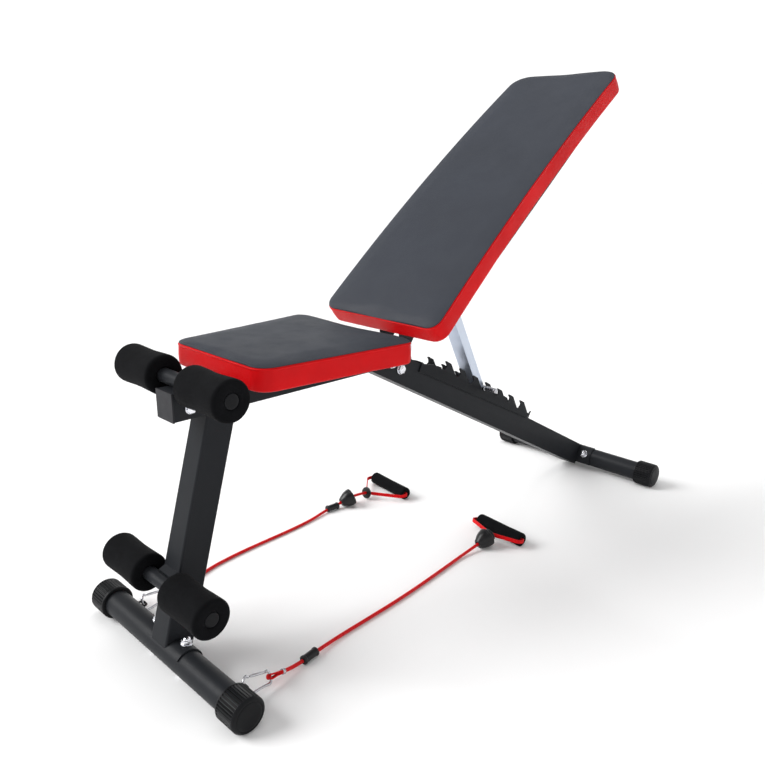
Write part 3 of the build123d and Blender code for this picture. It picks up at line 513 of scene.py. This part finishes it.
def handle_pieces(side, spec, finishes):
    """Sleeve, stopper, disc, foam grip and strap along one band; returns those its cord runs through."""
    sleeve_from, sleeve_to = (at(*p) for p in spec["sleeve"])
    bm = bmesh.new()
    bulge = [(0, 4.2), (0.5, 7.4), (1.5, 8.5), (4.5, 8.6), (6, 7.6), (8, 7.5), (28, 7.5), (30, 7.6),
             (31.5, 8.6), (34.5, 8.5), (35.5, 7.4), (36, 4.2)]
    lathe(bm, bulge, sleeve_from, sleeve_to - sleeve_from, steps=48)
    sleeve = new_object(f"sleeve_{side}", finish_mesh("sleeve", bm), finishes["moulded"], "frame",
                        30)

    nose, tail = (at(*p) for p in spec["stopper"])
    bm = bmesh.new()
    lathe(bm, [(2, 6.0), (0, 7.2), (0.3, 9.4), (2, 11.2), (6, 13.4), (11, 16.2), (15, 18.2), (21, 20.3),
               (27, 21.4), (28.2, 21.5), (28.8, 20.9), (29.4, 20.9), (30, 21.5), (33.2, 21.5), (34, 20.8),
               (34, 17.2), (30, 16.4), (14, 14.0), (12, 6.0)], nose, tail - nose, steps=64, closed=False)
    stopper = new_object(f"stopper_shell_{side}", finish_mesh("stopper", bm), finishes["moulded"], "frame",
                         30)
    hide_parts(f"stopper_{side}")

    route = spec["points"]
    end = route[-1]
    end_dir = (route[-1] - route[-2]).normalized()
    bm = bmesh.new()
    lathe(bm, [(0, 4.0), (0, 13.2), (0.5, 14.5), (1.4, 15.0), (3.6, 15.0), (4.5, 14.4), (5.0, 13.0),
               (5.0, 5.2), (6.6, 4.8), (6.8, 4.0)], end, end_dir, steps=56)
    disc = new_object(f"disc_{side}", finish_mesh("disc", bm), finishes["moulded"], "frame",
                      30)
    bm = bmesh.new()
    lathe(bm, arc(5.4, 6.6, 1.0, -180, 180, 16), end, end_dir, steps=40, closed=False)
    ring = new_object(f"disc_ring_{side}", finish_mesh("ring", bm), finishes["wire"], "frame",
                      60)

    x, d, turn = spec["grip"]
    along = Vector((math.cos(math.radians(turn)), math.sin(math.radians(turn)), 0))
    middle = at(x, d, GRIP_Z)
    start = middle - along * (GRIP_LENGTH / 2 * MM)
    profile = [(3, 6.4)] + [(1.2, 9.0)] + arc(4.5, 11.2, 4.5, -80, 0, 6)
    for k in range(1, 30):
        share = k / 30
        profile.append((4.5 + share * (GRIP_LENGTH - 9), 15.7 - 0.5 * math.sin(math.pi * share)))
    profile += arc(GRIP_LENGTH - 4.5, 11.2, 4.5, 0, 80, 6) + [(GRIP_LENGTH - 1.2, 9.0)]
    profile += [(GRIP_LENGTH - 3, 6.4)]

    def soften(angle, position, radius):
        place = Vector((math.cos(angle) * 1.3, math.sin(angle) * 1.3, position * 0.045 + x))
        return radius + 0.35 * noise.noise(place) if radius > 8 else radius

    bm = bmesh.new()
    lathe(bm, profile, start, along, steps=64, ripple=soften, closed=False)
    grip = new_object(f"grip_foam_{side}", finish_mesh("grip", bm), finishes["foam"], "frame",
                      60)
    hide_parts(f"grip_{side}")

    joint = end + end_dir * 5.6 * MM
    left = middle - along * ((GRIP_LENGTH / 2 + 6.5) * MM)
    right = middle + along * ((GRIP_LENGTH / 2 + 6.5) * MM)
    flat = (right - left).cross(joint - left).normalized()
    forward = flat.cross(left - right).normalized()
    if forward.dot(joint - middle) < 0:
        forward = -forward
    points = [joint - along * 3 * MM, left + forward * 21 * MM, left, right, right + forward * 21 * MM,
              joint + along * 3 * MM]
    strap = ribbon(f"strap_tape_{side}", points, 9.0, 2.4, flat, finishes["webbing"], "frame", corner=7.5)
    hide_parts(f"strap_{side}")
    return sleeve, stopper, disc, ring


def make_bands(finishes):
    """Both resistance bands; the shared CAD nodes are hidden once, on the right band's pass."""
    for side, spec in BANDS.items():
        spec["points"] = band_route(spec["eye"], spec["aim"], spec["route"])
        cord = route_curve(f"band_cord_{side}", spec["points"], CORD_DIAMETER * MM, finishes["latex"],
                           "frame")
        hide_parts(f"cord_{side}")
        crimp = hook_pieces(side, spec, finishes)
        sleeve, stopper, disc, ring = handle_pieces(side, spec, finishes)
        if side == "right":
            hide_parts("band_crimps")
            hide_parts("band_sleeves")
            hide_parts("band_discs")


# ---------------------------------------------------------------- pads
class Pad:
    """Upholstered pad: a firm crowned top, a welted seam and stretched side panels, in its own frame."""

    def __init__(self, place, length, start_width, end_width, start_r, end_r, depth, crown, bow=0.0):
        self.place = place
        self.length = length
        self.widths = (start_width, end_width)
        self.radii = (start_r, end_r)
        self.depth = depth
        self.crown = crown
        self.bow = bow

    def half_width(self, y):
        first, last = self.widths
        half = (first + (last - first) * y / self.length) / 2
        start_r, end_r = self.radii
        if y < start_r:
            half -= start_r - math.sqrt(max(start_r ** 2 - (start_r - y) ** 2, 0))
        from_end = self.length - y
        if from_end < end_r:
            half -= end_r - math.sqrt(max(end_r ** 2 - (end_r - from_end) ** 2, 0))
        return half

    def rows(self, pitch):
        start_r, end_r = self.radii
        steps = 9
        first = [start_r * (1 - math.cos(math.pi / 2 * k / steps)) for k in range(steps)]
        count = max(2, round((self.length - start_r - end_r) / pitch))
        middle = [start_r + (self.length - start_r - end_r) * k / count for k in range(count)]
        last = [self.length - end_r * (1 - math.cos(math.pi / 2 * k / steps)) for k in range(steps, -1, -1)]
        return first + middle + last


def pad_loops(pad):
    """(inset, height, face material) of the rings from the top's edge down to the underside.

    Material 0 is the top cover and 1 the side panel."""
    depth = pad.depth
    return [(1.0, 0.35, 0), (0.75, -0.15, 0), (1.3, -0.9, 1), (1.0, -1.4, 1), (-0.5, -1.7, 1),
            (-1.1, -2.5, 1), (-1.0, -3.4, 1), (-0.3, -4.6, 1), (-0.6, -7.0, 1), (-1.0, -0.36 * depth, 1),
            (-1.3, -0.52 * depth, 1), (-1.2, -0.70 * depth, 1), (-0.9, -0.86 * depth, 1),
            (-0.3, -0.94 * depth, 1), (1.6, -0.985 * depth, 1), (5.0, -depth, 1), (12.6, -depth, 1),
            (12.8, 7 - depth, 1)]


def build_pad(name, pad, pitch, finishes, body, node, seed):
    """Grid-topped pad mesh, its top blown up against its pinned seam to a soft crown."""
    columns = 24
    rows = pad.rows(pitch)
    bm = bmesh.new()
    grid = []
    for y in rows:
        half = pad.half_width(y)
        grid.append([Vector((half * (2 * i / columns - 1), y, 0)) for i in range(columns + 1)])
    boundary = [(0, i) for i in range(columns + 1)]
    boundary += [(j, columns) for j in range(1, len(rows))]
    boundary += [(len(rows) - 1, i) for i in range(columns - 1, -1, -1)]
    boundary += [(j, 0) for j in range(len(rows) - 2, 0, -1)]
    edge = [grid[j][i] for j, i in boundary]
    outward = []
    for index, here in enumerate(edge):
        step = edge[(index + 1) % len(edge)] - edge[index - 1]
        outward.append(Vector((step.y, -step.x, 0)).normalized())

    def crown_at(point):
        distance = min((point - other).length for other in edge)
        lip = min(distance / 15.0, 1.0)
        swell = min(distance / 90.0, 1.0)
        height = pad.crown * (0.82 * math.sqrt(max(1 - (1 - lip) ** 2, 0)) + 0.18 * swell)
        wobble = noise.noise(Vector((point.x * 0.012, point.y * 0.012, seed))) * 0.5
        return height + wobble * lip

    # the seam ring is the grid's own edge, drawn in a little where the cover is tucked
    top = []
    for j, line in enumerate(grid):
        top.append([bm.verts.new(Vector((p.x, p.y, crown_at(p) if 0 < j < len(grid) - 1 and 0 < i < columns
                                         else 0.7))) for i, p in enumerate(line)])
    for j in range(len(grid) - 1):
        for i in range(columns):
            bm.faces.new((top[j][i], top[j][i + 1], top[j + 1][i + 1], top[j + 1][i]))
    previous = [top[j][i] for j, i in boundary]
    side_faces = []
    for inset, height, slot_index in pad_loops(pad):
        ring = []
        for index, (here, normal) in enumerate(zip(edge, outward)):
            along = here.y / pad.length
            pull = 0.9 * math.sin(math.pi * along) * min(1.0, abs(height) / 6) * abs(normal.x)
            ripple = 0.0
            if height < -2:
                ripple = 0.45 * noise.noise(Vector((here.x * 0.02, here.y * 0.02, height * 0.05 + seed)))
            place = here - normal * (inset + pull + ripple)
            ring.append(bm.verts.new((place.x, place.y, height + 0.4 * ripple)))
        for index in range(len(edge)):
            after = (index + 1) % len(edge)
            face = bm.faces.new((previous[after], previous[index], ring[index], ring[after]))
            if slot_index:
                side_faces.append(face)
        previous = ring
    for face in side_faces:
        face.material_index = 1
    # underside: the bottom of the pocket that the board fills
    inner = []
    for vert, normal in zip(previous, outward):
        place = vert.co - normal * 6
        inner.append(bm.verts.new((place.x, place.y, 7 - pad.depth)))
    for index in range(len(edge)):
        after = (index + 1) % len(edge)
        bm.faces.new((previous[after], previous[index], inner[index], inner[after])).material_index = 1
    bm.faces.new(list(reversed(inner))).material_index = 1
    for vert in bm.verts:
        along = min(max(vert.co.y / pad.length, 0.0), 1.0)
        vert.co.z += 4 * pad.bow * along * (1 - along)
        vert.co = vert.co * MM
    mesh = finish_mesh(name, bm)
    piece = new_object(name, mesh, [finishes["vinyl"], finishes["red_vinyl"]], body, 60)
    inflate(piece, len(grid) * (columns + 1), boundary, columns)
    mesh.transform(pad.place)
    smooth = piece.modifiers.new("smooth", "SUBSURF")
    smooth.levels = 1
    smooth.render_levels = 2
    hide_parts(node)
    return piece


def inflate(piece, top_count, boundary, columns, cap=1.6):
    """Cloth pass: air pressure lifts the top cover between its pinned seams, by at most cap."""
    mesh = piece.data
    rest = [v.co.copy() for v in mesh.vertices]
    pinned = {j * (columns + 1) + i for j, i in boundary} | set(range(top_count, len(rest)))
    group = piece.vertex_groups.new(name="pin")
    group.add(sorted(pinned), 1.0, "REPLACE")
    cloth = piece.modifiers.new("cloth", "CLOTH")
    settings = cloth.settings
    settings.quality = 6
    settings.mass = 0.3
    settings.tension_stiffness = 30
    settings.compression_stiffness = 30
    settings.bending_stiffness = 4
    settings.vertex_group_mass = "pin"
    settings.use_pressure = True
    settings.uniform_pressure_force = 4.0
    settings.effector_weights.gravity = 0.0
    cloth.collision_settings.use_collision = False
    scene = bpy.context.scene
    for number in range(1, 21):
        scene.frame_set(number)
    shaped = piece.evaluated_get(bpy.context.evaluated_depsgraph_get())
    moved = [v.co.copy() for v in shaped.data.vertices]
    piece.modifiers.remove(cloth)
    for vert, start, end in zip(mesh.vertices, rest, moved):
        step = end - start
        if step.length > cap * MM:
            step *= cap * MM / step.length
        vert.co = start + step
    scene.frame_set(1)
    mesh.update()


def make_pads(finishes):
    """Seat and backrest cushions, each in the space of its CAD solid."""
    depth, crown, pitch = 41.0, 6.0, 12.0
    place = Matrix.Translation(at(0, 124.0, 545.0))
    seat = Pad(place, length=320.0, start_width=268.0, end_width=338.0, start_r=30.0, end_r=18.0,
               depth=depth, crown=crown)
    build_pad("seat_cushion", seat, pitch, finishes, "frame", "seat_pad", 3.0)
    place = Matrix.Translation(at(0, 509.5, 554.0)) @ Matrix.Rotation(math.radians(BACK_ANGLE), 4, "X")
    back = Pad(place, length=814.0, start_width=321.0, end_width=287.0, start_r=28.0, end_r=34.0,
               depth=depth, crown=crown, bow=14.0)
    build_pad("backrest_cushion", back, pitch, finishes, "backrest", "backrest_pad", 9.0)


# ---------------------------------------------------------------- foam rollers
def make_rollers(finishes):
    """Four foam sleeves with rounded shoulders, a slight waist and a hollowed end round the bar."""
    length = 116.0
    outer = 35.3
    shoulder = 6.5
    profile = [(4.0, 12.9), (1.5, 14.5), (0.6, 18.0), (0.0, 24.0)]
    profile += arc(shoulder, outer - shoulder, shoulder, -88, 0, 8)
    for k in range(1, 24):
        profile.append((shoulder + (length - 2 * shoulder) * k / 24, outer))
    profile += arc(length - shoulder, outer - shoulder, shoulder, 0, 88, 8)
    profile += [(length, 24.0), (length - 0.6, 18.0), (length - 1.5, 14.5), (length - 4.0, 12.9)]
    for number, name in enumerate(("lower_roller_right", "lower_roller_left", "upper_roller_right",
                                   "upper_roller_left")):
        low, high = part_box(name)
        start = Vector((low.x, (low.y + high.y) / 2, (low.z + high.z) / 2))

        def soften(angle, along, radius, number=number):
            if radius < 20:
                return radius
            share = along / length
            waist = 1.5 * math.sin(math.pi * share) ** 2
            place = Vector((math.cos(angle) * 0.9, math.sin(angle) * 0.9, share * 2.2 + number * 7))
            return radius - waist + 0.7 * noise.noise(place)

        bm = bmesh.new()
        lathe(bm, profile, start, (1, 0, 0), steps=112, ripple=soften, closed=False)
        piece = new_object(f"{name}_foam", finish_mesh(name, bm), finishes["foam"], name,
                           60)
        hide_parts(name)


def make_bar_plugs(finishes):
    """Domed plastic plugs in the ends of both roller bars."""
    bm = bmesh.new()
    for node in ("lower_roller_bar", "upper_roller_bar"):
        low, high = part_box(node)
        y, z = (low.y + high.y) / 2, (low.z + high.z) / 2
        for side, end in ((-1, low.x), (1, high.x)):
            lathe(bm, [(-12, 10.6), (-0.1, 11.1), (0, 12.4), (0.7, 12.6), (1.5, 12.2), (2.0, 11.0),
                       (2.2, 8.0), (2.3, 3.0)], Vector((end, y, z)), (side, 0, 0), steps=48)
    plugs = new_object("bar_end_plugs", finish_mesh("plugs", bm), finishes["cap"], "frame",
                       35)
    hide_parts("roller_bar_plugs")


# ---------------------------------------------------------------- foot caps
def make_foot_caps(finishes):
    """Ribbed sleeves on the ends of both feet, flat where they stand."""
    ribs = 36
    profile = [(0.0, 25.3), (0.0, 30.4), (0.6, 31.6), (1.6, 32.0), (3.6, 32.0), (4.4, 32.0), (6, 32.0)]
    profile += [(6 + 5 * k, 32.0) for k in range(1, 8)]
    profile += [(43.6, 32.0), (45.0, 31.9), (46.6, 31.0), (48.2, 29.4), (49.0, 27.6), (49.3, 26.2),
                (49.0, 25.4), (48.8, 24.6), (49.6, 23.4), (50.0, 20.0), (50.2, 12.0), (50.2, 4.0)]

    def ribbed(angle, along, radius):
        if not 4.0 < along < 44.5 or radius < 31.8:
            return radius
        wave = math.cos(angle * ribs)
        return radius - 1.9 * min(1.0, max(0.0, 0.5 - wave))

    for label, y in (("front", FRONT_Y), ("rear", REAR_Y)):
        low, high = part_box(f"{label}_foot_caps")
        bm = bmesh.new()
        for side, end in ((-1, low.x), (1, high.x)):
            start = Vector((end - side * CAP_LENGTH * MM, y, FOOT_Z))
            lathe(bm, profile, start, (side, 0, 0), steps=ribs * 8, ripple=ribbed, floor_z=low.z)
        caps = new_object(f"{label}_ribbed_caps", finish_mesh("caps", bm), finishes["cap"], "frame",
                          38)
        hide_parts(f"{label}_foot_caps")


# ---------------------------------------------------------------- fasteners
def dome_nut(bm, start, direction, across=17.0, washer=10.5):
    """Washer, hexagon and domed cap, standing on start."""
    lathe(bm, [(0, washer - 0.5), (0.3, washer), (1.5, washer), (1.9, washer - 0.5)], start, direction, 40)
    hexagon(bm, start, direction, 1.9, 8.6, across)
    dome = [(8.2, 6.6), (9.4, 6.5)]
    for angle in map(math.radians, (18, 36, 52, 66, 78, 86)):
        dome.append((9.4 + 4.6 * math.sin(angle), 6.5 * math.cos(angle)))
    lathe(bm, dome, start, direction, 40)


def round_head(bm, start, direction, radius, height):
    """Low domed bolt head, standing on start."""
    dome = [(0, radius - 0.3), (0.5, radius)]
    dome += [(0.5 + (height - 0.5) * math.sin(math.radians(a)), radius * math.cos(math.radians(a)))
             for a in (20, 40, 58, 74, 86)]
    lathe(bm, dome, start, direction, 40)


def lock_nut(bm, start, direction, across, washer, bolt_r):
    """Washer, hexagon with a collar, and the bolt's end."""
    lathe(bm, [(0, washer - 0.4), (0.3, washer), (1.2, washer), (1.5, washer - 0.4)], start, direction, 36)
    hexagon(bm, start, direction, 1.5, 6.2, across)
    lathe(bm, [(6.0, across * 0.44), (6.8, across * 0.43), (7.0, across * 0.38)], start, direction, 36)
    thread = [(6.5, bolt_r)]
    thread += [(7.0 + 0.25 * k, bolt_r - (0.25 if k % 2 else 0.0)) for k in range(5)]
    lathe(bm, thread + [(8.3, bolt_r - 0.8)], start, direction, 28)


def make_fasteners(finishes):
    """Bright nuts and bolt heads on the feet, the frame and the backrest's hinge."""
    leans = {"front": math.radians(POST_TILT), "rear": math.radians(LEG_ANGLE - 90)}
    nuts, heads = bmesh.new(), bmesh.new()
    for label, y in (("front", FRONT_Y), ("rear", REAR_Y)):
        lean = leans[label]
        up = Vector((0, math.sin(lean), math.cos(lean)))
        for side in (-1, 1):
            centre = Vector((side * SADDLE_BOLT_X * MM, y, FOOT_Z))
            dome_nut(nuts, centre + up * 28.2 * MM, up)
            round_head(heads, centre - up * 25.0 * MM, -up, 8.0, 2.5)
    piece = new_object("foot_dome_nuts", finish_mesh("nuts", nuts), finishes["chrome"], "frame",
                       35)
    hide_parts("foot_nuts")
    piece = new_object("foot_bolt_heads", finish_mesh("heads", heads), finishes["chrome"], "frame",
                       35)
    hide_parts("foot_bolts")

    nuts, heads = bmesh.new(), bmesh.new()
    leg_lean = math.radians(LEG_ANGLE)

    def on_leg(u, v):
        return at(0, 622 + u * math.cos(leg_lean) + v * math.sin(leg_lean),
                  441 - u * math.sin(leg_lean) + v * math.cos(leg_lean))

    for centre, across, washer, bolt_r in ((at(0, 60, 471), 15.5, 10.0, 5.0),
                                           (on_leg(-56, -29), 17.5, 11.2, 5.0),
                                           (on_leg(-86, -29), 11.0, 7.5, 4.0)):
        start = centre + Vector((TUBE_SIDE * MM, 0, 0))
        lock_nut(nuts, start, (1, 0, 0), across, washer, bolt_r)
        round_head(heads, centre - Vector((TUBE_SIDE * MM, 0, 0)), (-1, 0, 0), across * 0.58, 4.0)
    piece = new_object("frame_lock_nuts", finish_mesh("nuts", nuts), finishes["chrome"], "frame",
                       35)
    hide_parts("frame_nuts")
    piece = new_object("frame_bolt_heads", finish_mesh("heads", heads), finishes["chrome"], "frame",
                       35)
    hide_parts("frame_bolts")

    hinge = box_middle("hinge_nut")
    nuts, shaft = bmesh.new(), bmesh.new()
    low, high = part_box("hinge_nut")
    start = Vector((low.x, hinge.y, hinge.z))
    lock_nut(nuts, start, (1, 0, 0), 16.0, 10.4, 5.0)
    piece = new_object("hinge_lock_nut", finish_mesh("nut", nuts), finishes["chrome"], "backrest",
                       35)
    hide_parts("hinge_nut")
    low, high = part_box("hinge_bolt")
    start = Vector((low.x + 4 * MM, hinge.y, hinge.z))
    round_head(shaft, start, (-1, 0, 0), 9.2, 4.0)
    long = (high.x - start.x) / MM
    lathe(shaft, [(-0.5, 4.9), (0, 5.0), (long - 1, 5.0), (long, 4.3)], start, (1, 0, 0), 40)
    piece = new_object("hinge_bolt_shaft", finish_mesh("bolt", shaft), finishes["chrome"], "backrest",
                       35)
    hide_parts("hinge_bolt")


def make_cross_pin(finishes):
    """Ladder pin with knurled ends and a groove outside each plate."""
    low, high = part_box("cross_pin")
    start = Vector((low.x, (low.y + high.y) / 2, (low.z + high.z) / 2))
    long = (high.x - low.x) / MM
    profile = [(0, 4.6), (0.5, 5.5), (1.2, 6.0)]
    profile += [(1.2 + 0.7 * k, 6.0) for k in range(1, 40)]
    profile += [(30.4, 5.2), (31.6, 5.2), (32.4, 6.0)]
    profile += [(long - along, radius) for along, radius in reversed(profile)]

    def knurl(angle, along, radius):
        from_end = min(along, long - along)
        if radius < 5.9 or not 1.0 < from_end < 29.5:
            return radius
        cut = max(math.sin(angle * 18 + along * 2.6), math.sin(angle * 18 - along * 2.6))
        return radius - 0.28 * (0.5 + 0.5 * cut)

    bm = bmesh.new()
    lathe(bm, profile, start, (1, 0, 0), steps=108, ripple=knurl)
    pin = new_object("ladder_pin", finish_mesh("pin", bm), finishes["wire"], "strut", 30)
    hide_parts("cross_pin")


# ---------------------------------------------------------------- carried-over frame
def dress_frame(finishes):
    """Materials and soft edges on the CAD nodes that stay as they are."""
    edges = {"front_post": 0.0, "seat_beam": 0.0, "rear_leg": 1.6, "beam_tongue": 0.8, "ladder_left": 0.5,
             "ladder_right": 0.5, "front_saddle": 0.5, "rear_saddle": 0.5, "lower_bar_cradle": 0.6,
             "frame_lugs": 0.5, "seat_straps": 0.6, "backrest_rail": 1.0, "backrest_strap": 0.5,
             "backrest_hinge_bracket": 0.5, "lower_roller_bar": 0.0, "upper_roller_bar": 0.0,
             "front_foot_tube": 0.0, "rear_foot_tube": 0.0, "band_eyes": 0.0}
    for node, width in edges.items():
        bevelled(node, width, finishes["paint"])
    bevelled("beam_end_cap", 1.0, finishes["cap"])
    bevelled("rail_end_plug", 0.8, finishes["cap"])
    bevelled("strut", 0.5, finishes["strut"])
    bevelled("strut_pivot_pin", 0.4, finishes["chrome"])
    bevelled("seat_screws", 0.3, finishes["chrome"])
    bevelled("seat_board", 0.8, finishes["board"])
    bevelled("backrest_board", 0.8, finishes["board"])


finishes = make_materials()
add_camera()
add_studio()
make_bands(finishes)
make_pads(finishes)
make_rollers(finishes)
make_bar_plugs(finishes)
make_foot_caps(finishes)
make_fasteners(finishes)
make_cross_pin(finishes)
dress_frame(finishes)
